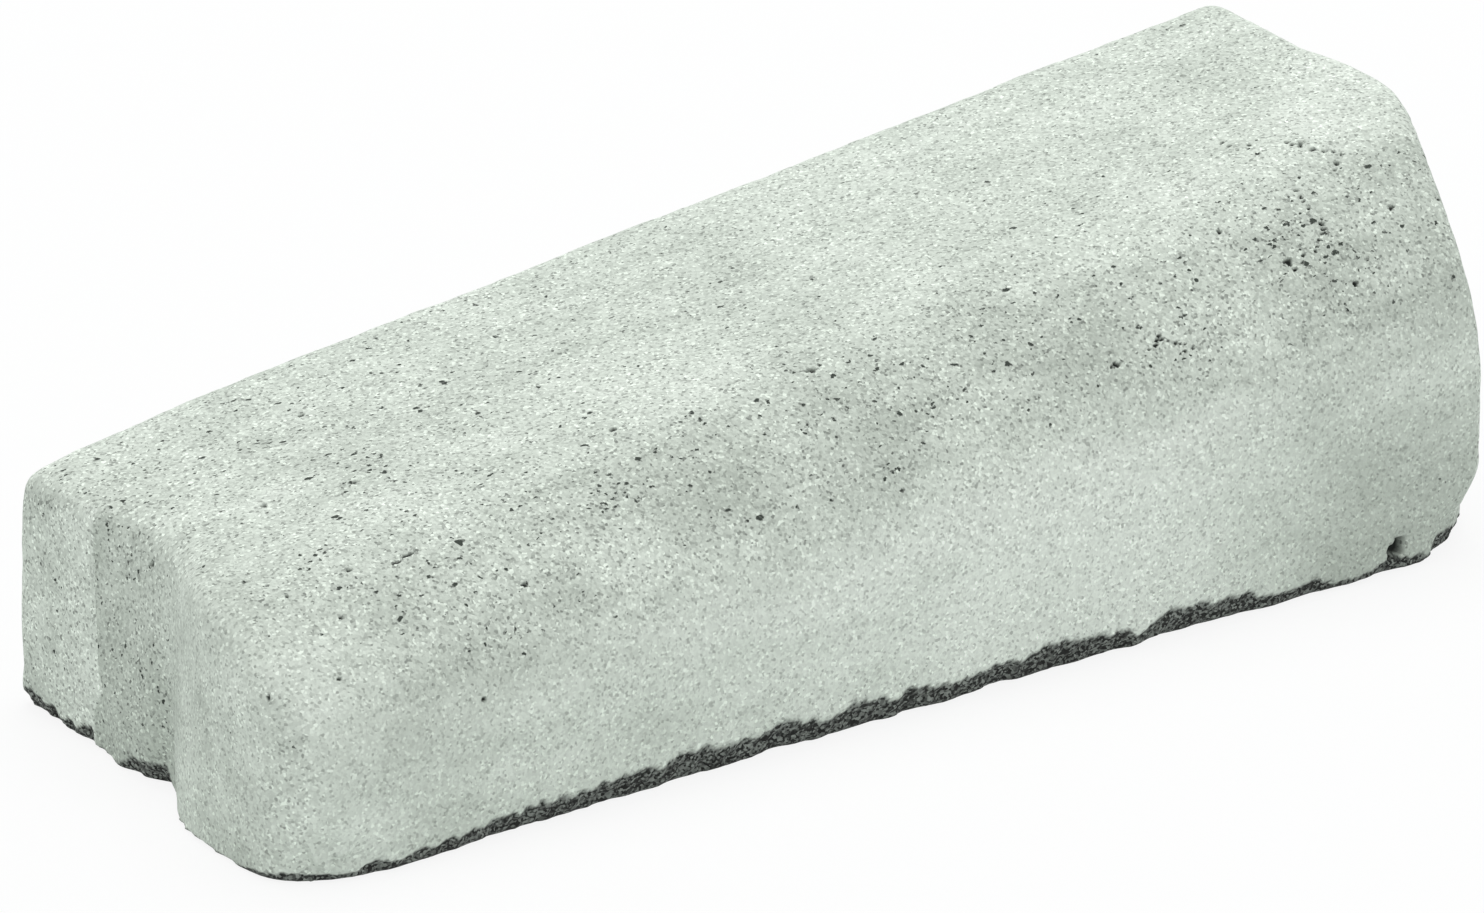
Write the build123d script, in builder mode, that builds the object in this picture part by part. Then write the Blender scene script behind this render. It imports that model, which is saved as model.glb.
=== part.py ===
"""Concrete kerb stone: a transition unit that rises from a low end to a high end.

One cast piece. +X runs along the kerb from the low end to the high end, -Y is the rounded
road face, +Y is the back that the paving meets, and +Z is up. The origin is the bottom centre
of the whole stone. All sizes are in millimetres.
"""

import os

from build123d import *

# Overall sizes
LENGTH = 400.0  # from the low end's flat seat to the high end's flat seat
WIDTH = 150.0  # from the road face to the back
LOW_HEIGHT = 70.0  # at the low end's flat seat
HIGH_HEIGHT = 110.0  # at the high end's flat seat

# Rounding from the top to the road face: its run across the width and its drop in height
LOW_ROUND_RUN = 52.0
LOW_ROUND_DROP = 43.0
HIGH_ROUND_RUN = 64.0
HIGH_ROUND_DROP = 60.0

# Low end in plan, from the back: a flat seat, a shallow cove, a horn that swells past the seat and a
# corner that turns from the horn's tip to the road face
LOW_SEAT_WIDTH = 37.0
COVE_WIDTH = 39.0
COVE_DEPTH = 2.5
HORN_REACH = 14.0
CORNER_WIDTH = 22.0
CORNER_RUN = 15.0

# High end in plan, from the back: a flat seat, a nose that enters the next stone's cove, a recess
# that takes its horn, and a toe that falls away to the road face
HIGH_SEAT_WIDTH = 43.0
NOSE_WIDTH = 45.0
NOSE_REACH = 4.2
RECESS_WIDTH = 38.0
RECESS_DEPTH = 14.0
TOE_SETBACK = 24.0

# Worn edges
BEND_ROUND = 9.0  # between the curves of each end, in plan
TOP_ARRIS = 8.0  # along the back of the top
END_ARRIS = 6.0  # round the outline of both ends
BED_CHAMFER = 4.0  # broken edge round the bed

# Values that follow from the sizes above
HALF_WIDTH = WIDTH / 2
LOW_SEAT_END = HALF_WIDTH - LOW_SEAT_WIDTH
COVE_END = LOW_SEAT_END - COVE_WIDTH
HORN_END = CORNER_WIDTH - HALF_WIDTH
HIGH_SEAT_END = HALF_WIDTH - HIGH_SEAT_WIDTH
NOSE_END = HIGH_SEAT_END - NOSE_WIDTH
RECESS_END = NOSE_END - RECESS_WIDTH
LOW_SEAT_X = -(LENGTH + NOSE_REACH - HORN_REACH) / 2
HIGH_SEAT_X = LOW_SEAT_X + LENGTH
OVERRUN = HORN_REACH + NOSE_REACH  # of the sections past the block that they are cut with
PAST_BACK = HALF_WIDTH + OVERRUN

with BuildPart() as kerb_stone:
    # An upright block with the plan of the two joints
    with BuildSketch() as plan:
        with BuildLine():
            cove_middle = (LOW_SEAT_X + COVE_DEPTH, (LOW_SEAT_END + COVE_END) / 2)
            horn_tip = (LOW_SEAT_X - HORN_REACH, HORN_END)
            corner_end = (LOW_SEAT_X - HORN_REACH + CORNER_RUN, -HALF_WIDTH)
            cove = ThreePointArc((LOW_SEAT_X, LOW_SEAT_END), cove_middle, (LOW_SEAT_X, COVE_END))
            TangentArc(horn_tip, cove @ 1, tangent=(0, 1))
            corner = TangentArc(horn_tip, corner_end, tangent=(0, -1))
            nose_middle = (HIGH_SEAT_X + NOSE_REACH, (HIGH_SEAT_END + NOSE_END) / 2)
            nose = ThreePointArc((HIGH_SEAT_X, HIGH_SEAT_END), nose_middle, (HIGH_SEAT_X, NOSE_END))
            recess = TangentArc(nose @ 1, (HIGH_SEAT_X - RECESS_DEPTH, RECESS_END), tangent=nose % 1)
            toe = TangentArc(recess @ 1, (HIGH_SEAT_X - TOE_SETBACK, -HALF_WIDTH), tangent=recess % 1)
            Line(corner @ 1, toe @ 1)
            Polyline(cove @ 0, (LOW_SEAT_X, HALF_WIDTH), (HIGH_SEAT_X, HALF_WIDTH), nose @ 0)
        make_face()
        for bend in (cove @ 0, cove @ 1, nose @ 0):
            fillet(plan.vertices().sort_by_distance(bend)[0], BEND_ROUND)
    extrude(amount=2 * HIGH_HEIGHT)

    # Its top and road face follow two sections, which rise from end to end
    for section_x in (LOW_SEAT_X - OVERRUN, HIGH_SEAT_X + OVERRUN):
        rise = (section_x - LOW_SEAT_X) / LENGTH
        height = LOW_HEIGHT + rise * (HIGH_HEIGHT - LOW_HEIGHT)
        run = LOW_ROUND_RUN + rise * (HIGH_ROUND_RUN - LOW_ROUND_RUN)
        drop = LOW_ROUND_DROP + rise * (HIGH_ROUND_DROP - LOW_ROUND_DROP)
        round_start = (run - HALF_WIDTH, height)
        round_end = (-HALF_WIDTH, height - drop)
        with BuildSketch(Plane.YZ.offset(section_x)):
            with BuildLine():
                Polyline(round_end, (-HALF_WIDTH, 0), (PAST_BACK, 0), (PAST_BACK, height), round_start)
                EllipticalCenterArc((run - HALF_WIDTH, height - drop), run, drop, 90, arc_size=90)
            make_face()
    loft(ruled=True, mode=Mode.INTERSECT)

    long_edges = kerb_stone.edges().filter_by(lambda edge: edge.length > LENGTH / 2)
    back_top = long_edges.group_by(Axis.Y)[-1].sort_by(Axis.Z)[-1]
    fillet(back_top, TOP_ARRIS)

    # The outline of each end is rounded, from the bed up one face, over the top and down the other
    uprights = kerb_stone.edges().filter_by(Axis.Z)
    corners = uprights.group_by(Axis.Y)[0] + uprights.group_by(Axis.Y)[-1]
    above_bed = kerb_stone.edges().filter_by(lambda edge: edge.center().Z > 0) - uprights
    rims = above_bed.filter_by(lambda edge: edge.bounding_box().size.X < LENGTH / 2)
    fillet(corners + rims, END_ARRIS)

    chamfer(kerb_stone.edges().group_by(Axis.Z)[0], BED_CHAMFER)

kerb_stone.part.label = "kerb_stone"

os.makedirs("parts", exist_ok=True)
export_step(kerb_stone.part, "parts/kerb_stone.step")
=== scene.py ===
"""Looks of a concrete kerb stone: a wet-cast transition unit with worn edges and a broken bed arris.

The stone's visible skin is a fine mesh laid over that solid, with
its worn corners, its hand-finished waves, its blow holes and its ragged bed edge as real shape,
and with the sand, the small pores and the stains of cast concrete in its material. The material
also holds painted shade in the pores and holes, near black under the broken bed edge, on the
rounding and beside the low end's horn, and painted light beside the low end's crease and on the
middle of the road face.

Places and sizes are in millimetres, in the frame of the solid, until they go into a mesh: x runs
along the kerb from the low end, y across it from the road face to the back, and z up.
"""

import logging
import math
from dataclasses import dataclass
from enum import Enum

import bmesh
import bpy
import numpy as np
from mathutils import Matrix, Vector, noise
from mathutils.bvhtree import BVHTree
from mathutils.kdtree import KDTree


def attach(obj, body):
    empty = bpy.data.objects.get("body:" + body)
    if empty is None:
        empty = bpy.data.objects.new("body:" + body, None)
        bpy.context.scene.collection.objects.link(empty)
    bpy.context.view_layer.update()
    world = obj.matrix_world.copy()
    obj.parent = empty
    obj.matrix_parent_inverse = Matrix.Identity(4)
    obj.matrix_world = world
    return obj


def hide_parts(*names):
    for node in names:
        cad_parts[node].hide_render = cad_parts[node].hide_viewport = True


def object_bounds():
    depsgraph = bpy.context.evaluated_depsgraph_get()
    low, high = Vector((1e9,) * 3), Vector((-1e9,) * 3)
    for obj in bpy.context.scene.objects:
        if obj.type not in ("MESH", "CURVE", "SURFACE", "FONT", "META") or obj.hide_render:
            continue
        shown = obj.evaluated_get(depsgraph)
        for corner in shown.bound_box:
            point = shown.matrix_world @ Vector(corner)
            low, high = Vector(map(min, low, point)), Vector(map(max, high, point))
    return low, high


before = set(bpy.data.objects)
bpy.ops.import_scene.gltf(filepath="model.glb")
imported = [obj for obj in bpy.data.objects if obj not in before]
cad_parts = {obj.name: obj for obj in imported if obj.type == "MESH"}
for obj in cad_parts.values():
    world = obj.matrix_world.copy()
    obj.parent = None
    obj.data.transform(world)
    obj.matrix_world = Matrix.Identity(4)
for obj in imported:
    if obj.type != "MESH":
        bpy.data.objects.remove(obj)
CAD_LOW, CAD_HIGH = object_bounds()

LOG = logging.getLogger("kerb_stone")
MM = 0.001  # one millimetre in metres
LOW_MM, HIGH_MM = np.array(CAD_LOW) / MM, np.array(CAD_HIGH) / MM  # corners of the solid's box
IMAGE_WIDTH, IMAGE_HEIGHT = 1484, 913  # of the photograph, in pixels
BED_NORMAL = -0.9  # faces that look further down are the bed
BED_SKIN = 0.3  # points below this height lie on the bed
MIX_SHARE, MIX_FIRST, MIX_SECOND, MIX_RESULT = 0, 6, 7, 2  # sockets of a node that mixes colours
MIDDLE = 0.5  # of a colour ramp and of a noise

Array = np.ndarray
Mesh = bpy.types.Mesh
Node = bpy.types.Node
Socket = bpy.types.NodeSocket
Tree = bpy.types.NodeTree
Span = tuple[float, float]  # where something starts and where it is full
Pixel = tuple[float, float]  # across and down in the photograph
Place = tuple[float, float, float]


class Body(Enum):
    """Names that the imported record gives."""

    ROOT = "root"
    NODE = "kerb_stone"
    SLOT = "concrete"


class Mark(Enum):
    """Per-point values that the mesh hands to its finish."""

    PORES = "pore_share"
    # stains, with painted shade and painted light in places
    STAIN_AND_SHADING = "stain_and_shading"
    # broken concrete, painted near black for the shadow under the bed edge
    BROKEN_AND_SHADOWED = "broken"
    # painted shade inside the modelled holes
    HOLE_SHADE = "hole_shade"


def linear(hex_colour: str) -> tuple[float, float, float, float]:
    """Turns an sRGB hex colour to linear RGBA.

    Args:
        hex_colour: Six hex digits.

    Returns:
        Linear red, green, blue and an alpha of 1.
    """
    parts = [int(hex_colour[i : i + 2], 16) / 255 for i in (0, 2, 4)]
    curve = [c / 12.92 if c <= 0.04045 else ((c + 0.055) / 1.055) ** 2.4 for c in parts]
    return (*curve, 1.0)


def add_node(tree: Tree, kind: str, inputs: dict | None = None, **settings) -> Node:
    """Adds a node with its settings and links.

    Args:
        tree: The tree that gets the node.
        kind: Blender's name of the node type, without its ShaderNode.
        inputs: Socket names or numbers, each with a constant, an output or a node's first output.
        settings: Properties of the node.

    Returns:
        The new node.
    """
    node = tree.nodes.new("ShaderNode" + kind)
    for name, value in settings.items():
        setattr(node, name, value)
    for key, value in (inputs or {}).items():
        feed = value.outputs[0] if isinstance(value, Node) else value
        if isinstance(feed, Socket):
            tree.links.new(feed, node.inputs[key])
        else:
            node.inputs[key].default_value = feed
    return node


def smooth_step(values: Array, start: float | Array, end: float | Array) -> Array:
    """Rises smoothly from 0 at start to 1 at end; falls where end is below start.

    Args:
        values: Numbers to map.
        start: Where the result is 0.
        end: Where the result is 1.

    Returns:
        The mapped numbers.
    """
    t = np.clip((values - start) / (end - start), 0, 1)
    return t * t * (3 - 2 * t)


def distance(points: Array, centre: Place | Vector) -> Array:
    """How far each point lies from a centre."""
    return np.linalg.norm(points - np.array(centre), axis=1)


@dataclass(frozen=True)
class Wave:
    """Smooth random relief, the same on every run."""

    size: float  # distance over which it rises and falls
    height: float
    seed: int  # picks one relief out of many
    octaves: int  # layers, each finer than the one before
    stride: Place = (17.3, 41.9, 73.1)  # from the noise of one seed to that of the next
    falloff: float = 0.9  # how much weaker each finer layer is
    fineness: float = 2.1  # how much finer each layer is
    gain: float = 1.2  # brings the noise to about -1 to 1

    def at(self, points: Array) -> Array:
        """Gives the relief.

        Args:
            points: Places, one row each.

        Returns:
            One height for each point.
        """
        places = points / self.size + np.array(self.stride) * self.seed
        relief = [noise.fractal(Vector(p), self.falloff, self.fineness, self.octaves) for p in places]
        return self.height * (np.array(relief) * self.gain)


@dataclass(frozen=True)
class Stretch:
    """A stretch of the stone that has a share of something, and that fades in and perhaps out."""

    share: float
    fade_in: Span
    fade_out: Span | None = None

    def at(self, values: Array) -> Array:
        """The share at each of the values, which run along the stretch."""
        amount = self.share * smooth_step(values, *self.fade_in)
        return amount if self.fade_out is None else amount * smooth_step(values, *self.fade_out)


@dataclass(frozen=True)
class PhotoCamera:
    """A long lens at the photograph's viewing angle; angles in degrees."""

    azimuth: float = -36.65
    elevation: float = 22.56
    distance: float = 4261.0
    aim_right: float = -9.43
    aim_up: float = 43.20
    focal_pixels: float = 16000.0
    sensor: float = 36.0
    far_limit: float = 100000.0

    def axes(self) -> tuple[Vector, Vector, Vector]:
        """Works out how the camera is turned.

        Returns:
            Right, up and backward directions of the view.
        """
        turn, lift = math.radians(self.azimuth), math.radians(self.elevation)
        flat = math.cos(lift)
        back = Vector((math.sin(turn) * flat, -math.cos(turn) * flat, math.sin(lift)))
        right = Vector((0, 0, 1)).cross(back).normalized()
        return right, back.cross(right), back

    def place(self) -> Vector:
        """Where the camera stands."""
        right, up, back = self.axes()
        return back * self.distance + right * self.aim_right + up * self.aim_up

    def spot(self, surface: BVHTree, pixel: Pixel) -> Vector:
        """Finds what a pixel of the photograph shows.

        Args:
            surface: The stone's faces.
            pixel: The pixel.

        Returns:
            The place on the surface.
        """
        right, up, back = self.axes()
        across = (pixel[0] - IMAGE_WIDTH / 2) / self.focal_pixels
        down = (pixel[1] - IMAGE_HEIGHT / 2) / self.focal_pixels
        ray = (right * across - up * down - back).normalized()
        return surface.ray_cast(self.place(), ray)[0]

    def build(self) -> bpy.types.Object:
        """Makes the camera the scene's own.

        Returns:
            The camera object.
        """
        data = bpy.data.cameras.new("photo_camera")
        data.sensor_width = self.sensor
        data.lens = self.focal_pixels * self.sensor / IMAGE_WIDTH
        data.clip_end = self.far_limit * MM
        camera = bpy.data.objects.new("photo_camera", data)
        camera.location = self.place() * MM
        camera.rotation_mode = "QUATERNION"
        camera.rotation_quaternion = (-self.axes()[2]).to_track_quat("-Z", "Y")
        bpy.context.scene.collection.objects.link(camera)
        bpy.context.scene.camera = camera
        return camera


@dataclass(frozen=True)
class PoreLayer:
    """One size of air pore: their spacing, the share of cells that hold one, and the widest radius."""

    spacing: float
    share: float
    radius: float


@dataclass(frozen=True)
class CastConcrete:
    """Wet-cast concrete, as it leaves a rubber-lined mould: matt, sandy and full of air pores.

    The cement skin is a pale grey with a green cast. Air trapped against the mould leaves pin
    holes, painted dark for the shade inside them, sand shows as a fine speckle, and laitance
    leaves soft paler and darker clouds. The broken bed edge is painted near black for the shadow
    under it.
    """

    pale: str = "DFE7DE"
    middle: str = "D1DAD0"
    dull: str = "B8C1B7"
    # painted shade inside the small pores
    pore: str = "3A423B"
    # painted shade inside the modelled holes
    deep: str = "1E231F"
    # broken concrete darkened to near black: painted shadow under the broken bed edge
    broken: str = "161916"
    crumbled: str = "949A94"
    ior: float = 1.52
    roughness: float = 0.93
    cloud_mm: float = 60.0
    smudge_mm: float = 12.0
    smudge_length: float = 2.6  # how much longer than wide a smudge is, along the kerb
    tones: Span = (0.5, 1.4)  # clouds and smudges together, where they are dull and pale
    grain_mm: float = 0.72  # coarser than the real grit of 0.3 mm, so that it shows
    grain_shades: tuple[Span, ...] = (  # share of the grains, and how bright they are
        (0.0, 0.12), (1.0, 0.86), (0.06, 0.28), (0.2, 0.43), (0.5, 0.51), (0.9, 0.62),
    )
    plain_shade: float = 0.5  # of a grain that leaves the skin's colour as it is
    grain_pores: Span = (0.15, 0.8)  # how pored the skin is where the grain shows least and most
    grain_strength: Span = (0.48, 0.8)  # how much of the grain shows there
    black_grains: float = 0.36  # share of the grains that are near black in broken concrete, where they paint the shadow under the bed edge
    crowd_tones: Span = (0.1, 0.9)  # the tones where pores are the most and the fewest
    crowd_pores: Span = (1.35, 0.3)  # how many there are
    chain_mm: float = 11.0  # size of the loops in which pores line up
    chain_width: Span = (0.01, 0.05)  # from a loop's line to its edge, in the noise
    chain_pores: Span = (1.9, 0.75)  # how many pores are on it and beside it
    pore_length: float = 1.6  # how much longer than wide a pore is, along the kerb
    pore_edge: float = 0.35  # share of a pore's radius over which it grows dark
    warp_mm: Span = (1.5, 2.2)  # how often and how far the pores' outlines wander
    pores: tuple[PoreLayer, ...] = (
        PoreLayer(1.6, 0.26, 0.5), PoreLayer(2.9, 0.26, 0.75), PoreLayer(6.5, 0.16, 1.0),
    )
    grit_height_mm: float = 0.22
    pore_depth_mm: float = 0.8

    def build(self) -> bpy.types.Material:
        """Makes the material.

        Returns:
            The node material.
        """
        material = bpy.data.materials.new("wet_cast_concrete")
        material.use_nodes = True
        tree = material.node_tree
        tree.nodes.clear()
        place = add_node(tree, "TexCoord").outputs["Object"]
        marks = {
            mark: add_node(tree, "Attribute", attribute_name=mark.value).outputs["Fac"] for mark in Mark
        }
        tone = self.tone(tree, place, marks[Mark.STAIN_AND_SHADING])
        cell = add_node(tree, "TexVoronoi", {"Vector": place, "Scale": 1 / (self.grain_mm * MM)})
        grain = add_node(tree, "SeparateColor", {"Color": cell.outputs["Color"]})
        strength = add_node(
            tree, "MapRange",
            {
                "Value": marks[Mark.PORES],
                "From Min": self.grain_pores[0], "From Max": self.grain_pores[1],
                "To Min": self.grain_strength[0], "To Max": self.grain_strength[1],
            },
        )
        holes = self.holes(tree, place, tone, marks[Mark.PORES])
        lumps = add_node(tree, "MapRange", {"Value": grain, "From Min": self.black_grains, "From Max": 1.0})
        # the broken concrete's colour, darkened for the painted shadow under the bed edge
        rubble_and_shadow = add_node(
            tree, "Mix",
            {MIX_SHARE: lumps, MIX_FIRST: linear(self.broken), MIX_SECOND: linear(self.crumbled)},
            data_type="RGBA",
        ).outputs[MIX_RESULT]
        colour = self.skin(tree, tone, grain, strength)
        # pores and holes painted dark as the shade inside them, and the broken bed edge painted near black as
        # the shadow under it
        layers = (
            (holes, linear(self.pore)), (marks[Mark.BROKEN_AND_SHADOWED], rubble_and_shadow), (marks[Mark.HOLE_SHADE], linear(self.deep)),
        )
        for share, paint in layers:
            colour = add_node(
                tree, "Mix", {MIX_SHARE: share, MIX_FIRST: colour, MIX_SECOND: paint}, data_type="RGBA"
            ).outputs[MIX_RESULT]
        bump = self.relief(tree, place, holes, strength)
        shader = add_node(
            tree, "BsdfPrincipled",
            {"Base Color": colour, "Normal": bump, "Roughness": self.roughness, "IOR": self.ior},
        )
        add_node(tree, "OutputMaterial", {"Surface": shader})
        return material

    def tone(self, tree: Tree, place: Socket, stain_and_shading: Socket) -> Node:
        """Laitance clouds, and smudges drawn out along the kerb by the screed, less the stains and the
        painted shade and light.

        Args:
            tree: The material's tree.
            place: The place on the stone.
            stain_and_shading: How stained it is, and where shade and light are painted.

        Returns:
            The tone, from 0 for dull to 1 for pale.
        """
        cloud = add_node(
            tree, "TexNoise",
            {"Vector": place, "Scale": 1 / (self.cloud_mm * MM), "Detail": 3.0, "Roughness": 0.5},
        )
        along = add_node(tree, "Mapping", {"Vector": place, "Scale": (1 / self.smudge_length, 1.0, 1.0)})
        smudge = add_node(
            tree, "TexNoise",
            {"Vector": along, "Scale": 1 / (self.smudge_mm * MM), "Detail": 4.0, "Roughness": 0.62},
        )
        both = add_node(tree, "Math", {0: cloud, 1: smudge}, operation="ADD")
        clean = add_node(tree, "Math", {0: both, 1: stain_and_shading}, operation="SUBTRACT")
        return add_node(
            tree, "MapRange", {"Value": clean, "From Min": self.tones[0], "From Max": self.tones[1]}
        )

    def skin(self, tree: Tree, tone: Node, grain: Node, strength: Node) -> Node:
        """The cement's colour with its sand: each grain has its own shade, and some are dark or bright.

        Args:
            tree: The material's tree.
            tone: The tone of the cement.
            grain: A number that each grain has.
            strength: How much of the grain shows.

        Returns:
            The colour.
        """
        clouds = add_node(tree, "ValToRGB", {"Fac": tone})
        stops = clouds.color_ramp.elements
        stops[0].color = linear(self.dull)
        stops[1].color = linear(self.pale)
        stops.new(MIDDLE).color = linear(self.middle)
        sand = add_node(tree, "ValToRGB", {"Fac": grain})
        shades = sand.color_ramp.elements
        for number, (position, value) in enumerate(self.grain_shades):
            shade = shades[number] if number < 2 else shades.new(position)  # a ramp starts with two
            shade.color = (value, value, value, 1.0)
        plain = (self.plain_shade, self.plain_shade, self.plain_shade, 1.0)
        speckle = add_node(
            tree, "Mix", {MIX_SHARE: strength, MIX_FIRST: plain, MIX_SECOND: sand}, data_type="RGBA"
        ).outputs[MIX_RESULT]
        sanded = add_node(
            tree, "Mix", {MIX_SHARE: 1.0, MIX_FIRST: clouds, MIX_SECOND: speckle},
            data_type="RGBA", blend_type="MULTIPLY",
        ).outputs[MIX_RESULT]
        return add_node(tree, "VectorMath", {0: sanded, "Scale": 1 / self.plain_shade}, operation="SCALE")

    def holes(self, tree: Tree, place: Socket, tone: Node, share: Socket) -> Node:
        """The pores: ragged cells of air, most of them where the smudges are dull, and lined up in chains.

        Args:
            tree: The material's tree.
            place: The place on the stone.
            tone: The tone of the cement.
            share: How pored the stone is there.

        Returns:
            How deep in a pore the place is, from 0 to 1; it sets both the painted shade in the pores and
            their bump.
        """
        drag = add_node(
            tree, "TexNoise", {"Vector": place, "Scale": 1 / (self.chain_mm * MM), "Detail": 1.0}
        )
        aside = add_node(tree, "Math", {0: drag, 1: MIDDLE}, operation="SUBTRACT")
        beside = add_node(tree, "Math", {0: aside}, operation="ABSOLUTE")
        amount = share
        maps = ((beside, self.chain_width, self.chain_pores), (tone, self.crowd_tones, self.crowd_pores))
        for value, (low, high), (first, last) in maps:
            part = add_node(
                tree, "MapRange",
                {"Value": value, "From Min": low, "From Max": high, "To Min": first, "To Max": last},
            )
            amount = add_node(tree, "Math", {0: amount, 1: part}, operation="MULTIPLY")
        wander = add_node(
            tree, "TexNoise", {"Vector": place, "Scale": 1 / (self.warp_mm[0] * MM), "Detail": 2.0}
        ).outputs["Color"]
        ragged = add_node(
            tree, "VectorMath",
            {0: wander, 1: (self.warp_mm[1] * MM,) * 3, 2: place}, operation="MULTIPLY_ADD",
        )
        drawn = add_node(tree, "Mapping", {"Vector": ragged, "Scale": (1 / self.pore_length, 1.0, 1.0)})
        holes = None
        for layer in self.pores:
            widest = layer.radius / layer.spacing
            cell = add_node(tree, "TexVoronoi", {"Vector": drawn, "Scale": 1 / (layer.spacing * MM)})
            chance = add_node(tree, "SeparateColor", {"Color": cell.outputs["Color"]})
            part = add_node(tree, "Math", {0: amount, 1: layer.share}, operation="MULTIPLY")
            over = add_node(tree, "Math", {0: chance, 1: part}, operation="SUBTRACT")
            radius = add_node(
                tree, "MapRange",
                {"Value": over, "From Min": -layer.share, "From Max": 0.0, "To Min": widest, "To Max": 0.0},
            )
            inside = add_node(tree, "Math", {0: radius, 1: cell.outputs["Distance"]}, operation="SUBTRACT")
            deep = add_node(
                tree, "MapRange", {"Value": inside, "From Min": 0.0, "From Max": self.pore_edge * widest}
            )
            holes = deep if holes is None else add_node(
                tree, "Math", {0: holes, 1: deep}, operation="MAXIMUM"
            )
        return holes

    def relief(self, tree: Tree, place: Socket, holes: Node, strength: Node) -> Node:
        """The grit that stands proud and the pores that lie deep.

        Args:
            tree: The material's tree.
            place: The place on the stone.
            holes: How deep in a pore the place is.
            strength: How much of the grain shows.

        Returns:
            The normal.
        """
        grit = add_node(
            tree, "TexNoise",
            {"Vector": place, "Scale": 1 / (self.grain_mm * MM), "Detail": 2.0, "Roughness": 0.6},
        )
        rough = add_node(tree, "Math", {0: strength, 1: self.grit_height_mm}, operation="MULTIPLY")
        high = add_node(tree, "Math", {0: grit, 1: rough}, operation="MULTIPLY")
        height = add_node(
            tree, "Math", {0: holes, 1: -self.pore_depth_mm, 2: high}, operation="MULTIPLY_ADD"
        )
        return add_node(tree, "Bump", {"Height": height, "Distance": MM})


@dataclass(frozen=True)
class WornSpot:
    """A place where an edge is rounded off further than elsewhere."""

    name: str
    centre: Place
    reach: float
    passes: int
    strength: float = 0.6
    core: float = 0.35  # share of the reach that is worn most

    def share(self, points: Array) -> Array:
        """How much each point is worn; the bed isn't."""
        worn = smooth_step(distance(points, self.centre), self.reach, self.reach * self.core)
        return self.strength * worn * (points[:, 2] > BED_SKIN)


@dataclass(frozen=True)
class Dent:
    """A corner that is knocked in: where it is, how far the dent reaches and how it is pushed."""

    name: str
    centre: Place
    reach: float
    push: Place

    def shape(self, points: Array) -> Array:
        """The points, knocked in."""
        near = smooth_step(distance(points, self.centre), self.reach, 0.0)
        return points + near[:, None] * np.array(self.push)


@dataclass(frozen=True)
class BlowHole:
    """An air hole large enough to be modelled, at a pixel of the photograph."""

    pixel: Pixel
    radius: float
    stretch: float = 1.5  # how much longer than wide it is, along the kerb
    ragged: float = 0.45  # share of the radius by which its outline wanders
    floor: float = 0.45  # share of the radius where it is at its deepest
    reach: float = 3.0  # distance, in radii, up to which the outline is worked out
    seed: int = 13

    def inside(self, points: Array, spot: Vector) -> Array:
        """How far inside the hole each point lies.

        Args:
            points: The mesh's points.
            spot: The hole's middle.

        Returns:
            A share from 0, outside, to 1, at the bottom.
        """
        offset = points - np.array(spot)
        offset[:, 0] /= self.stretch
        near = np.linalg.norm(offset, axis=1)
        close = np.flatnonzero(near < self.reach * self.radius)
        outline = Wave(self.radius, self.ragged * self.radius, self.seed, octaves=2)
        near[close] += outline.at(points[close])
        return smooth_step(near, self.radius, self.floor * self.radius)


@dataclass(frozen=True)
class PoreCluster:
    """A place where pores crowd, at a pixel of the photograph."""

    pixel: Pixel
    radius: float
    share: float


@dataclass(frozen=True)
class PoreChain:
    """A line of small holes where the mix was dragged, through pixels of the photograph."""

    pixels: tuple[Pixel, ...]
    seed: int
    radius: Span = (0.4, 0.75)  # smallest and largest
    step: Span = (4.0, 11.0)  # least and most from hole to hole, in pixels
    stray: float = 1.3  # how far a hole lies off the line, in pixels

    def holes(self) -> list[BlowHole]:
        """Strings small holes along the line.

        Returns:
            The holes, the same on every run.
        """
        chance = np.random.default_rng(self.seed)
        found = []
        for start, end in zip(self.pixels, self.pixels[1:]):
            length, along = math.dist(start, end), 0.0
            while along < length:
                place = np.array(start) + (np.array(end) - np.array(start)) * along / length
                place += chance.normal(0.0, self.stray, 2)
                found.append(BlowHole(tuple(place), chance.uniform(*self.radius)))
                along += chance.uniform(*self.step)
        return found


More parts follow.
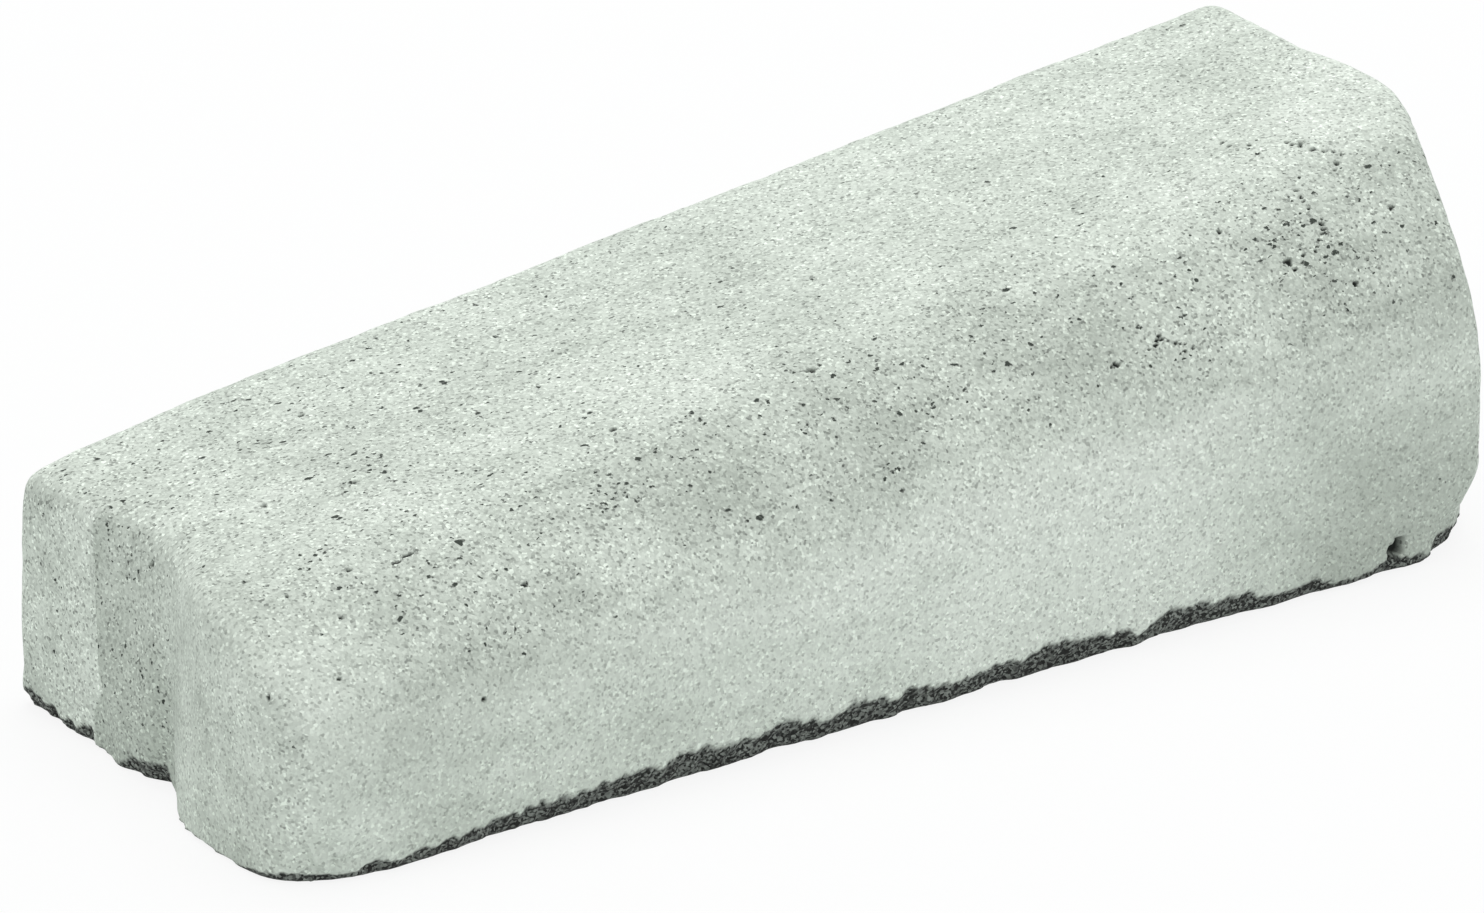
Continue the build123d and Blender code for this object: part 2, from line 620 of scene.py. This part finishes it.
@dataclass(frozen=True)
class BedEdge:
    """The broken arris round the bed: how high and how deep it is broken, and where it is broken most."""

    chamfer: float = 4.0  # of the solid
    band: float = 12.0  # height over which the wall may move
    inland: float = 18.0  # how far under the stone the bed moves with it
    least: Span = (0.8, 0.4)  # height and depth where the arris is nearly whole
    most: Span = (10.5, 4.2)  # height and depth where it is broken most
    patches: Wave = Wave(24.0, 0.15, seed=3, octaves=2)  # broken more and less along the arris
    teeth: Wave = Wave(9.0, 0.22, seed=5, octaves=4)  # of the ragged line
    notches: Wave = Wave(3.6, 0.16, seed=15, octaves=2)  # between the teeth
    ragged: Span = (0.0, 0.5)  # how broken the arris is where the line is first and fully ragged
    crumbs: Wave = Wave(3.2, 1.0, seed=7, octaves=3)  # lumps in the broken concrete
    crumbled: Span = (0.0, 0.3)  # how far below the line the lumps start and are full
    dark: Span = (0.0, 0.15)  # how far below the line the broken concrete shows, painted near black as the shadow under the edge
    bed_dark: float = 0.35  # how much of that painted-dark broken colour shows in the middle of the bed
    rough: Wave = Wave(8.0, 0.7, seed=11, octaves=3)  # the bed's own unevenness
    lift: float = 1.4  # most that the rim of the bed stands off the floor
    lifts: Wave = Wave(18.0, 1.0, seed=9, octaves=2)  # where it does
    lifted: float = 0.3  # added to that wave, so that it does more often
    neighbours: int = 16  # points of the wall that give its direction
    upright: float = 0.25  # the wall's normals rise and fall less than this
    clear: float = 1.0  # height above the chamfer where the wall is looked for

    elsewhere: float = 0.25  # how broken the arris is at the back and the high end
    road: Stretch = Stretch(1.0, (-60.0, -72.0))  # across the width
    road_share: float = 0.1  # how much more it is broken there
    road_middle: Stretch = Stretch(0.47, (-168.0, -115.0), (120.0, 75.0))  # along the road face
    low_end: Stretch = Stretch(1.0, (-180.0, -188.0))  # along the kerb
    low_share: float = 0.02  # how broken the low end is
    low_parts: tuple[Stretch, ...] = (  # how much more its seat, cove and corner are, across the width
        Stretch(0.4, (37.0, 39.0)), Stretch(0.5, (25.0, 17.0), (1.0, 5.0)), Stretch(0.22, (-48.0, -60.0)),
    )

    def shape(self, points: Array, normals: Array) -> tuple[Array, Array]:
        """Replaces the solid's even chamfer by a ragged break.

        Args:
            points: The mesh's points.
            normals: Their normals.

        Returns:
            The moved points, and how broken the surface is at each, from 0 to 1; that share also sets where
            the broken concrete is painted near black as the shadow under the edge.
        """
        low = np.flatnonzero(points[:, 2] < self.band)
        out, inset, foot = self.footing(points, normals, low)
        worst = self.worst(foot)
        line = self.patches.at(foot) + self.teeth.at(foot) + self.notches.at(foot)
        amount = np.clip(worst + line * smooth_step(worst, *self.ragged), 0, 1)
        height = self.least[0] + (self.most[0] - self.least[0]) * amount
        depth = self.least[1] + (self.most[1] - self.least[1]) * amount
        lift = self.lift * amount * np.clip(self.lifts.at(foot) + self.lifted, 0, 1)
        under = normals[low, 2] < BED_NORMAL
        gone = np.clip(1 - points[low, 2] / height, 0, 1)
        slope = (self.inland - depth) / (self.inland - self.chamfer)
        bed = np.where(inset < self.inland, depth + (inset - self.chamfer) * slope, inset)
        crumbs = self.crumbs.at(points[low]) * smooth_step(gone, *self.crumbled)
        wanted = np.where(under, bed, depth * gone + crumbs)
        moved = points.copy()
        moved[low, :2] += out * (inset - wanted)[:, None]
        rim = np.clip(1 - (bed - depth) / self.band, 0, 1)
        uneven = np.clip(self.rough.at(points[low]), 0, self.rough.height)
        moved[low, 2] += np.where(under, np.maximum(lift * rim, uneven), lift * gone)
        # where the broken concrete's colour goes, painted near black as the shadow under the edge
        broken = np.zeros(len(points))
        below = self.bed_dark + (1 - self.bed_dark) * rim
        broken[low] = np.where(under, below, smooth_step(gone, *self.dark))
        return moved, broken

    def footing(self, points: Array, normals: Array, low: Array) -> tuple[Array, Array, Array]:
        """Finds the wall above each low point.

        Args:
            points: The mesh's points.
            normals: Their normals.
            low: Numbers of the points near the bed.

        Returns:
            The wall's outward direction, how far the point lies inside it, and the wall's foot.
        """
        upright = np.abs(normals[:, 2]) < self.upright
        above = (points[:, 2] > self.chamfer + self.clear) & (points[:, 2] < self.band)
        wall = np.flatnonzero(upright & above)
        tree = KDTree(len(wall))
        for slot, index in enumerate(wall):
            tree.insert((points[index, 0], points[index, 1], 0.0), slot)
        tree.balance()
        found = [tree.find_n((x, y, 0.0), self.neighbours) for x, y in points[low, :2]]
        beside = np.array([[wall[slot] for _, slot, _ in row] for row in found])
        nearest = beside[:, 0]
        out = normals[beside, :2].mean(axis=1)
        out = out / np.linalg.norm(out, axis=1, keepdims=True)
        inset = np.sum((points[nearest, :2] - points[low, :2]) * out, axis=1)
        away = np.array([row[0][2] for row in found])
        inset = np.where(away < self.inland, inset, away)
        foot = np.column_stack([points[nearest, :2], np.zeros(len(low))])
        return out, inset, foot

    def worst(self, foot: Array) -> Array:
        """How broken the arris is on average.

        Args:
            foot: Places along the arris.

        Returns:
            A share for each place: most along the middle of the road face, little under the horn.
        """
        x, y = foot[:, 0], foot[:, 1]
        share = self.elsewhere + (self.road_share + self.road_middle.at(x)) * self.road.at(y)
        low_share = sum(part.at(y) for part in self.low_parts) + self.low_share
        return share + self.low_end.at(x) * (low_share - share)


@dataclass(frozen=True)
class LowEndStep:
    """The middle of the low end, which swells past the seat near the bed, and the horn's full shoulder."""

    start: float = 37.2  # across the width, where the seat ends
    lean: float = 6.6  # how far its edge draws back where it swells most
    rise: float = 1.2  # width of the step itself
    foot_rise: float = 18.0  # the same at the bed, where it is worn to a slope
    foot_height: Span = (26.0, 8.0)  # where that slope starts, coming down, and is full
    under: Span = (-168.0, -190.0)  # how far along the kerb the bed goes with it
    fade: Span = (0.0, 12.0)  # across the width, where it rises from the horn
    height: Span = (60.0, 14.0)  # where it starts, coming down, and where it is full
    swell: float = 5.0
    shoulder: Stretch = Stretch(1.0, (6.0, -14.0), (-48.0, -14.0))  # across the width
    fullness: float = 2.4
    full_height: Span = (44.0, 14.0)  # where the shoulder starts, coming down, and is full
    facing: Span = (0.3, 0.8)  # how far a face looks along the kerb, or down, to move with it

    def edge(self, points: Array) -> Array:
        """Where the seat ends across the width, at each point's height."""
        swelling = smooth_step(points[:, 2], *self.height)
        return self.start - self.lean * swelling * (1 - smooth_step(points[:, 2], *self.foot_height))

    def shape(self, points: Array, normals: Array) -> Array:
        """Moves the points of the low end's middle outwards.

        Args:
            points: The mesh's points.
            normals: Their normals.

        Returns:
            The moved points.
        """
        worn = smooth_step(points[:, 2], *self.foot_height)
        width = self.rise + (self.foot_rise - self.rise) * worn
        crest = self.edge(points) + self.rise / 2
        across = smooth_step(points[:, 1], crest, crest - width) * smooth_step(points[:, 1], *self.fade)
        below = smooth_step(-normals[:, 2], *self.facing) * smooth_step(points[:, 0], *self.under)
        facing = np.maximum(smooth_step(-normals[:, 0], *self.facing), below)
        moved = points.copy()
        moved[:, 0] -= self.swell * across * facing * smooth_step(points[:, 2], *self.height)
        shoulder = self.shoulder.at(points[:, 1])
        moved[:, 0] -= self.fullness * shoulder * facing * smooth_step(points[:, 2], *self.full_height)
        return moved


class Axis(Enum):
    """What bounds a zone of the surface: a place, or how far a face looks some way, from 0 to 1."""

    X = "along the kerb"
    Y = "across it"
    Z = "up"
    LENGTH = "along the kerb, as a share of its length"
    SEAT = "across it, from the edge of the low seat"
    ENDS = "looks to either end"
    LOW = "looks to the low end"
    ROAD = "looks to the road"
    UP = "looks up"


Bound = tuple[Axis, float, float]  # with where a zone starts and where it is full
ROAD_FACE = ((Axis.ROAD, 0.75, 0.98),)
ROUNDING = ((Axis.ROAD, 0.1, 0.5), (Axis.ROAD, 1.0, 0.85))
TOP = ((Axis.UP, 0.8, 0.95),)
HORN = ((Axis.X, -150.0, -190.0), (Axis.Y, 6.0, -10.0))
LOW_END = ((Axis.LOW, 0.3, 0.7), (Axis.X, -150.0, -185.0))
SEAT = (*LOW_END, (Axis.SEAT, -0.6, 0.6))
COVE = (*LOW_END, (Axis.SEAT, 0.6, -0.6), (Axis.Y, -18.0, 16.0))
LOWER_COVE = (*COVE, (Axis.Z, 44.0, 26.0))


@dataclass(frozen=True)
class Zone:
    """A part of the surface that is pored or stained more than the rest, or less, or that has painted shade
    or painted light.
    """

    bounds: tuple[Bound, ...]
    pores: float = 0.0
    stain_and_shading: float = 0.0

    def share(self, values: dict[Axis, Array]) -> Array:
        """How far each point belongs to the zone, from the points' values on every axis."""
        return math.prod(smooth_step(values[axis], start, end) for axis, start, end in self.bounds)


@dataclass(frozen=True)
class Weathering:
    """How pored and how stained the surface is, zone by zone, and where shade and light are painted on it."""

    zones: tuple[Zone, ...] = (
        Zone(((Axis.ENDS, 0.5, 0.9),), pores=0.1, stain_and_shading=0.1),
        Zone(ROAD_FACE, pores=-0.4),
        Zone((*ROAD_FACE, (Axis.LENGTH, 0.25, 0.5), (Axis.LENGTH, 0.8, 0.62)), stain_and_shading=-0.3),  # its middle, lighter: painted bounce light from the floor
        Zone((*ROAD_FACE, (Axis.Z, 70.0, 10.0), (Axis.LENGTH, 0.66, 0.9)), stain_and_shading=0.7),  # its far foot
        # the rounding: more pored, and darker as painted shade where it faces away from the overhead light
        Zone(ROUNDING, pores=0.12, stain_and_shading=0.24),
        # but no painted shade on the horn's rounding
        Zone((*ROUNDING, *HORN), stain_and_shading=-0.24),
        Zone(HORN, pores=-0.35),
        Zone((*HORN, (Axis.LOW, 0.7, 0.92), (Axis.Z, 50.0, 34.0)), stain_and_shading=0.12),  # its lower face
        Zone(TOP, pores=0.06),
        Zone((*TOP, (Axis.LENGTH, 0.55, 0.2)), pores=0.4, stain_and_shading=0.12),
        Zone((*SEAT, (Axis.Y, 50.0, 60.0)), stain_and_shading=0.18),  # by the back
        Zone((*SEAT, (Axis.Y, 52.0, 41.0)), stain_and_shading=-0.26),  # by the crease, lighter: painted light that offsets the shade of the bend beside it
        # between the seat and the horn, darker: painted shade
        Zone(COVE, stain_and_shading=0.2),
        # its lower part: more painted shade
        Zone(LOWER_COVE, stain_and_shading=0.3),
        Zone((*LOWER_COVE, (Axis.Y, 20.0, 34.0)), stain_and_shading=0.45),  # by the crease: the deepest painted shade
    )
    base_pores: float = 0.62
    pore_limits: Span = (0.12, 1.6)
    crowd_stain: float = 0.1  # how much darker the skin is where pores crowd

    def marks(self, points: Array, normals: Array, edge: Array, crowd: Array) -> dict[Mark, Array]:
        """Works out the pores, the stains and the painted shade and light.

        Args:
            points: The mesh's points.
            normals: Their normals.
            edge: Where the low seat ends across the width.
            crowd: How many more pores there are in places.

        Returns:
            How pored each point is, and how stained and shaded by paint; below 0 is a clean place, or one
            with painted light.
        """
        values = {
            Axis.X: points[:, 0], Axis.Y: points[:, 1], Axis.Z: points[:, 2],
            Axis.LENGTH: (points[:, 0] - LOW_MM[0]) / (HIGH_MM[0] - LOW_MM[0]),
            Axis.SEAT: points[:, 1] - edge, Axis.ENDS: np.abs(normals[:, 0]),
            Axis.LOW: -normals[:, 0], Axis.ROAD: -normals[:, 1], Axis.UP: normals[:, 2],
        }
        shares = [(zone, zone.share(values)) for zone in self.zones]
        pores = self.base_pores + sum(zone.pores * share for zone, share in shares) + crowd
        stain_and_shading = sum(zone.stain_and_shading * share for zone, share in shares) + self.crowd_stain * crowd
        return {Mark.PORES: np.clip(pores, *self.pore_limits), Mark.STAIN_AND_SHADING: stain_and_shading}


@dataclass
class KerbStone:
    """The whole stone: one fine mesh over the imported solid."""

    camera: PhotoCamera
    finish: CastConcrete
    bed: BedEdge = BedEdge()
    step: LowEndStep = LowEndStep()
    weathering: Weathering = Weathering()
    voxel: float = 1.78  # size of the even mesh
    fine_cuts: int = 3  # how often its edges are cut where it is finer
    fine_reach: float = 2.2  # how far round a hole it is finer
    crease_reach: float = 2.6  # the same beside the low end's crease
    crease_normal: float = -0.5  # its faces look further to the low end than this
    arris_margin: float = 1.0  # how far below the bed edge's band the mesh is finer
    arris_cuts: int = 1
    ease: float = 0.5  # how much every edge is worn
    ease_passes: int = 6
    ease_height: Span = (5.0, 12.0)  # where that wear starts above the bed and is full
    droop: float = 0.026  # share of the height that the low end lacks
    droop_along: Span = (-130.0, -200.0)
    skin_depth: float = 0.3  # how far the skin lies inside the solid, to leave room for its waves
    long_wave: Wave = Wave(48.0, 0.4, seed=1, octaves=2)
    short_wave: Wave = Wave(9.0, 0.2, seed=2, octaves=3)
    deepest_wave: float = 2.0
    hole_depth: float = 1.0  # share of a hole's radius
    crumb_ease: float = 0.4  # how much the broken edge's sharpest crumbs are eased
    crumb_passes: int = 2
    worn: tuple[WornSpot, ...] = (
        WornSpot("low back corner", (-195.0, 75.0, 70.0), reach=24.0, passes=14),
        WornSpot("horn rim", (-206.0, -52.0, 50.0), reach=34.0, passes=50),
        WornSpot("bend between cove and horn", (-196.0, -2.0, 46.0), reach=32.0, passes=60),
        WornSpot("cove rim", (-194.0, 12.0, 65.0), reach=28.0, passes=50),
    )
    dents: tuple[Dent, ...] = (
        Dent("high toe foot", (183.0, -77.0, 0.0), reach=26.0, push=(-9.0, 5.0, 0.0)),
        Dent("high rim on the rounding", (186.0, -45.0, 95.0), reach=55.0, push=(-5.0, 0.0, -1.5)),
        Dent("high rim on top", (205.0, 5.0, 110.0), reach=60.0, push=(-1.5, 0.0, -2.0)),
        Dent("horn corner foot", (-197.0, -74.0, 0.0), reach=20.0, push=(2.0, 4.0, 0.0)),
    )
    holes: tuple[BlowHole, ...] = (
        BlowHole(pixel=(151, 564), radius=1.2, stretch=1.0),
        BlowHole(pixel=(409, 553), radius=0.65, stretch=6.0),
        BlowHole(pixel=(396, 561), radius=0.55, stretch=5.0),
        *(BlowHole(pixel, radius=0.75, stretch=1.0) for pixel in ((287, 595), (340, 678), (268, 698))),
        BlowHole(pixel=(341, 616), radius=0.65, stretch=1.0),
        BlowHole(pixel=(354, 482), radius=0.75),
        *(BlowHole(pixel, radius=0.9) for pixel in ((301, 414), (264, 505), (525, 584), (613, 429))),
        *(BlowHole(pixel, radius=0.9, stretch=1.0) for pixel in ((349, 568), (485, 699))),
        *(BlowHole(pixel, radius=1.0, stretch=1.8) for pixel in ((812, 369), (1116, 364))),
        *(
            BlowHole(pixel, radius=1.1, stretch=1.0)
            for pixel in ((1220, 230), (1322, 223), (1337, 162), (1356, 283))
        ),
        *(BlowHole(pixel, radius=1.2) for pixel in ((1289, 261), (1301, 142))),
        BlowHole(pixel=(1392, 206), radius=1.0),
        BlowHole(pixel=(1398, 549), radius=3.9, stretch=1.0),
    )
    clusters: tuple[PoreCluster, ...] = (
        PoreCluster(pixel=(1307, 235), radius=34.0, share=0.8),
        PoreCluster(pixel=(1262, 142), radius=18.0, share=0.4),
        PoreCluster(pixel=(1190, 315), radius=24.0, share=0.45),
        PoreCluster(pixel=(990, 310), radius=24.0, share=0.4),
        PoreCluster(pixel=(915, 400), radius=24.0, share=0.4),
        PoreCluster(pixel=(808, 385), radius=18.0, share=0.35),
        PoreCluster(pixel=(800, 240), radius=20.0, share=0.3),
        PoreCluster(pixel=(580, 490), radius=20.0, share=0.55),
        PoreCluster(pixel=(500, 590), radius=22.0, share=0.35),
        PoreCluster(pixel=(380, 470), radius=20.0, share=0.55),
        PoreCluster(pixel=(130, 545), radius=16.0, share=0.2),
        PoreCluster(pixel=(60, 590), radius=16.0, share=0.4),
        PoreCluster(pixel=(140, 670), radius=16.0, share=0.25),
    )
    chains: tuple[PoreChain, ...] = (
        PoreChain(pixels=((1322, 217), (1323, 232), (1316, 251), (1296, 267)), seed=1),
        PoreChain(pixels=((1296, 190), (1311, 212)), seed=2),
        PoreChain(pixels=((1219, 144), (1261, 145)), seed=3, step=(6.0, 16.0)),
        PoreChain(pixels=((1288, 142), (1313, 148), (1341, 156), (1337, 168)), seed=4, step=(6.0, 16.0)),
        PoreChain(pixels=((1151, 351), (1159, 337), (1192, 347), (1177, 357)), seed=5),
    )

    def remeshed(self) -> Mesh:
        """An even mesh of the solid.

        Returns:
            A new mesh.
        """
        copy = bpy.data.objects.new("kerb_blank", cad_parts[Body.NODE.value].data.copy())
        bpy.context.scene.collection.objects.link(copy)
        remesh = copy.modifiers.new("even", "REMESH")
        remesh.mode = "VOXEL"
        remesh.voxel_size = self.voxel * MM
        graph = bpy.context.evaluated_depsgraph_get()
        mesh = bpy.data.meshes.new_from_object(copy.evaluated_get(graph))
        bpy.data.objects.remove(copy)
        return mesh

    @staticmethod
    def soften(points: Array, edges: Array, share: Array, passes: int) -> Array:
        """Moves points towards the middle of their neighbours.

        Args:
            points: The mesh's points.
            edges: Pairs of point numbers.
            share: How much of the way each point goes, from 0 to 1.
            passes: How often.

        Returns:
            The moved points.
        """
        ends = np.concatenate([edges, edges[:, ::-1]])
        count = np.bincount(ends[:, 0], minlength=len(points)).clip(1)
        for _ in range(passes):
            sums = [np.bincount(ends[:, 0], points[ends[:, 1], k], len(points)) for k in range(3)]
            middle = np.stack(sums, axis=1) / count[:, None]
            points = points + share[:, None] * (middle - points)
        return points

    @staticmethod
    def pairs(mesh: Mesh) -> Array:
        """The point numbers at the two ends of each edge."""
        edges = np.empty(len(mesh.edges) * 2, dtype=np.int64)
        mesh.edges.foreach_get("vertices", edges)
        return edges.reshape(-1, 2)

    @staticmethod
    def read(mesh: Mesh) -> tuple[Array, Array]:
        """Takes the points out of a mesh.

        Args:
            mesh: The stone's mesh.

        Returns:
            The points, in millimetres, and their normals.
        """
        points, normals = np.empty(len(mesh.vertices) * 3), np.empty(len(mesh.vertices) * 3)
        mesh.vertices.foreach_get("co", points)
        mesh.vertices.foreach_get("normal", normals)
        return points.reshape(-1, 3) / MM, normals.reshape(-1, 3)

    @staticmethod
    def write(mesh: Mesh, points: Array) -> None:
        """Puts points, in millimetres, back into the mesh."""
        mesh.vertices.foreach_set("co", (points * MM).ravel())
        mesh.update()

    @staticmethod
    def store(mesh: Mesh, mark: Mark, values: Array) -> None:
        """Stores one value for each point under the mark's name."""
        layer = mesh.attributes.new(mark.value, "FLOAT", "POINT")
        layer.data.foreach_set("value", values.astype(np.float32))

    @staticmethod
    def refine(mesh: Mesh, chosen: Array, cuts: int) -> None:
        """Divides the mesh finely in places.

        Args:
            mesh: The stone's mesh.
            chosen: For each point, whether it lies in such a place.
            cuts: How often each edge there is cut.
        """
        fine = bmesh.new()
        fine.from_mesh(mesh)
        edges = [edge for edge in fine.edges if all(chosen[vert.index] for vert in edge.verts)]
        bmesh.ops.subdivide_edges(fine, edges=edges, cuts=cuts, use_grid_fill=True)
        fine.to_mesh(mesh)
        fine.free()

    def build(self) -> bpy.types.Object:
        """Makes the stone's mesh with its wear, waves, holes and broken bed edge.

        Returns:
            The piece, not yet dressed.
        """
        mesh = self.remeshed()
        points, normals = self.read(mesh)
        arris = (points[:, 2] < self.bed.band - self.arris_margin) & (normals[:, 2] > BED_NORMAL)
        self.refine(mesh, arris, self.arris_cuts)
        points, normals = self.read(mesh)
        crease = np.abs(points[:, 1] - self.step.edge(points)) < self.crease_reach
        self.refine(mesh, crease & (normals[:, 0] < self.crease_normal), self.fine_cuts)
        self.wear(mesh)

        points, _ = self.read(mesh)
        faces = [tuple(face.vertices) for face in mesh.polygons]
        surface = BVHTree.FromPolygons([Vector(p) for p in points], faces)
        holes = [*self.holes, *(hole for chain in self.chains for hole in chain.holes())]
        spots = [self.camera.spot(surface, hole.pixel) for hole in holes]
        near = [
            distance(points, spot) < hole.radius * hole.stretch + self.fine_reach
            for hole, spot in zip(holes, spots)
        ]
        self.refine(mesh, np.any(near, axis=0), self.fine_cuts)

        points, normals = self.read(mesh)
        insides = [(hole, hole.inside(points, spot)) for hole, spot in zip(holes, spots)]
        # how far inside the modelled holes each point lies, where shade is painted
        hole_shade = np.max([inside for _, inside in insides], axis=0)
        sunk = np.max([self.hole_depth * hole.radius * inside for hole, inside in insides], axis=0)
        crowd = np.zeros(len(points))
        for cluster in self.clusters:
            spot = self.camera.spot(surface, cluster.pixel)
            crowd += cluster.share * smooth_step(distance(points, spot), cluster.radius, 0.0)
        points = points + normals * self.waves(points, normals)[:, None]
        points, broken = self.bed.shape(points, normals)
        crumbly = smooth_step(points[:, 2], self.bed.band, self.bed.band / 2)
        points = self.soften(points, self.pairs(mesh), self.crumb_ease * crumbly, self.crumb_passes)
        points = points - normals * sunk[:, None]
        self.write(mesh, np.clip(points, LOW_MM, HIGH_MM))

        points, normals = self.read(mesh)
        marks = self.weathering.marks(points, normals, self.step.edge(points), crowd)
        for mark, values in {**marks, Mark.BROKEN_AND_SHADOWED: broken, Mark.HOLE_SHADE: hole_shade}.items():
            self.store(mesh, mark, values)
        mesh.polygons.foreach_set("use_smooth", np.ones(len(mesh.polygons), dtype=bool))
        piece = bpy.data.objects.new("kerb_stone_skin", mesh)
        bpy.context.scene.collection.objects.link(piece)
        return piece

    def waves(self, points: Array, normals: Array) -> Array:
        """The waves of the hand-finished skin, which stay inside the solid.

        Args:
            points: The mesh's points.
            normals: Their normals.

        Returns:
            How far each point moves outwards; none on the bed.
        """
        relief = self.long_wave.at(points) + self.short_wave.at(points)
        relief = np.clip(relief, -self.deepest_wave, self.skin_depth) - self.skin_depth
        relief[(points[:, 2] < BED_SKIN) & (normals[:, 2] < BED_NORMAL)] = 0
        return relief

    def wear(self, mesh: Mesh) -> None:
        """Rounds the worn edges, knocks in the corners and shapes the low end.

        Args:
            mesh: The stone's even mesh.
        """
        edges = self.pairs(mesh)
        points, normals = self.read(mesh)
        above = smooth_step(points[:, 2], *self.ease_height)
        points = self.soften(points, edges, self.ease * above, self.ease_passes)
        for spot in self.worn:
            LOG.info("worn: %s", spot.name)
            points = self.soften(points, edges, spot.share(points), spot.passes)
        for dent in self.dents:
            LOG.info("knocked in: %s", dent.name)
            points = dent.shape(points)
        points[:, 2] *= 1 - self.droop * smooth_step(points[:, 0], *self.droop_along)
        self.write(mesh, self.step.shape(points, normals))

    def dress(self, piece: bpy.types.Object) -> None:
        """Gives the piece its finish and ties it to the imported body.

        Args:
            piece: The stone's skin.
        """
        piece.data.materials.clear()
        piece.data.materials.append(self.finish.build())
        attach(piece, Body.ROOT.value)
        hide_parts(Body.NODE.value)


@dataclass(frozen=True)
class Studio:
    """A plain white floor, soft light from above on the right, and a white surround; metres."""

    floor_colour: str = "F4F6F6"
    floor_glow: float = 0.88  # share of the floor that the camera sees as plain white
    floor_size: float = 40.0
    sky_colour: str = "FFFFFF"
    sky_strength: float = 0.75
    key_power: float = 18.0
    key_size: float = 1.6
    key_place: Place = (0.35, 0.55, 2.3)

    def seen(self, tree: Tree) -> Node:
        """One where the eye, a mirror or a glass looks, and zero where light is gathered."""
        rays = add_node(tree, "LightPath").outputs
        eye = {0: rays["Is Camera Ray"], 1: rays["Is Glossy Ray"]}
        mirror = add_node(tree, "Math", eye, operation="MAXIMUM")
        return add_node(tree, "Math", {0: mirror, 1: rays["Is Transmission Ray"]}, operation="MAXIMUM")

    def build(self) -> None:
        """Makes the floor, the surround and the lamp."""
        self.build_floor()
        self.build_surround()
        lamp = bpy.data.lights.new("soft_key", "AREA")
        lamp.shape = "DISK"
        lamp.size = self.key_size
        lamp.energy = self.key_power
        key = bpy.data.objects.new("soft_key", lamp)
        key.location = self.key_place
        key.rotation_mode = "QUATERNION"
        key.rotation_quaternion = (-Vector(self.key_place)).to_track_quat("-Z", "Y")
        bpy.context.scene.collection.objects.link(key)

    def build_floor(self) -> None:
        """Makes the floor, which keeps the stone's shadow."""
        half = self.floor_size / 2
        mesh = bpy.data.meshes.new("studio_floor")
        mesh.from_pydata(
            [(-half, -half, 0), (half, -half, 0), (half, half, 0), (-half, half, 0)], [], [(0, 1, 2, 3)]
        )
        material = bpy.data.materials.new("matt_white_floor")
        material.use_nodes = True
        tree = material.node_tree
        tree.nodes.clear()
        matt = add_node(tree, "BsdfDiffuse", {"Color": linear(self.floor_colour)})
        glow = add_node(tree, "Emission", {"Strength": 1.0})
        share = add_node(tree, "Math", {0: self.seen(tree), 1: self.floor_glow}, operation="MULTIPLY")
        both = add_node(tree, "MixShader", {0: share, 1: matt, 2: glow})
        add_node(tree, "OutputMaterial", {"Surface": both})
        mesh.materials.append(material)
        floor = bpy.data.objects.new("studio_floor", mesh)
        bpy.context.scene.collection.objects.link(floor)

    def build_surround(self) -> None:
        """Makes the surround: white to the eye, and softer as a light."""
        world = bpy.data.worlds.new("white_surround")
        world.use_nodes = True
        tree = world.node_tree
        tree.nodes.clear()
        white = linear(self.sky_colour)
        light = add_node(tree, "Background", {"Color": white, "Strength": self.sky_strength})
        plain = add_node(tree, "Background", {"Color": white, "Strength": 1.0})
        both = add_node(tree, "MixShader", {0: self.seen(tree), 1: light, 2: plain})
        add_node(tree, "OutputWorld", {"Surface": both})
        bpy.context.scene.world = world


def main() -> None:
    """Builds the camera, the studio and the stone."""
    logging.basicConfig(level=logging.INFO, format="%(name)s: %(message)s")
    bpy.context.scene.view_settings.view_transform = "Standard"
    camera = PhotoCamera()
    camera.build()
    Studio().build()
    stone = KerbStone(camera, CastConcrete())
    piece = stone.build()
    stone.dress(piece)
    LOG.info("%s: %d faces", piece.name, len(piece.data.polygons))


if __name__ == "__main__":
    main()
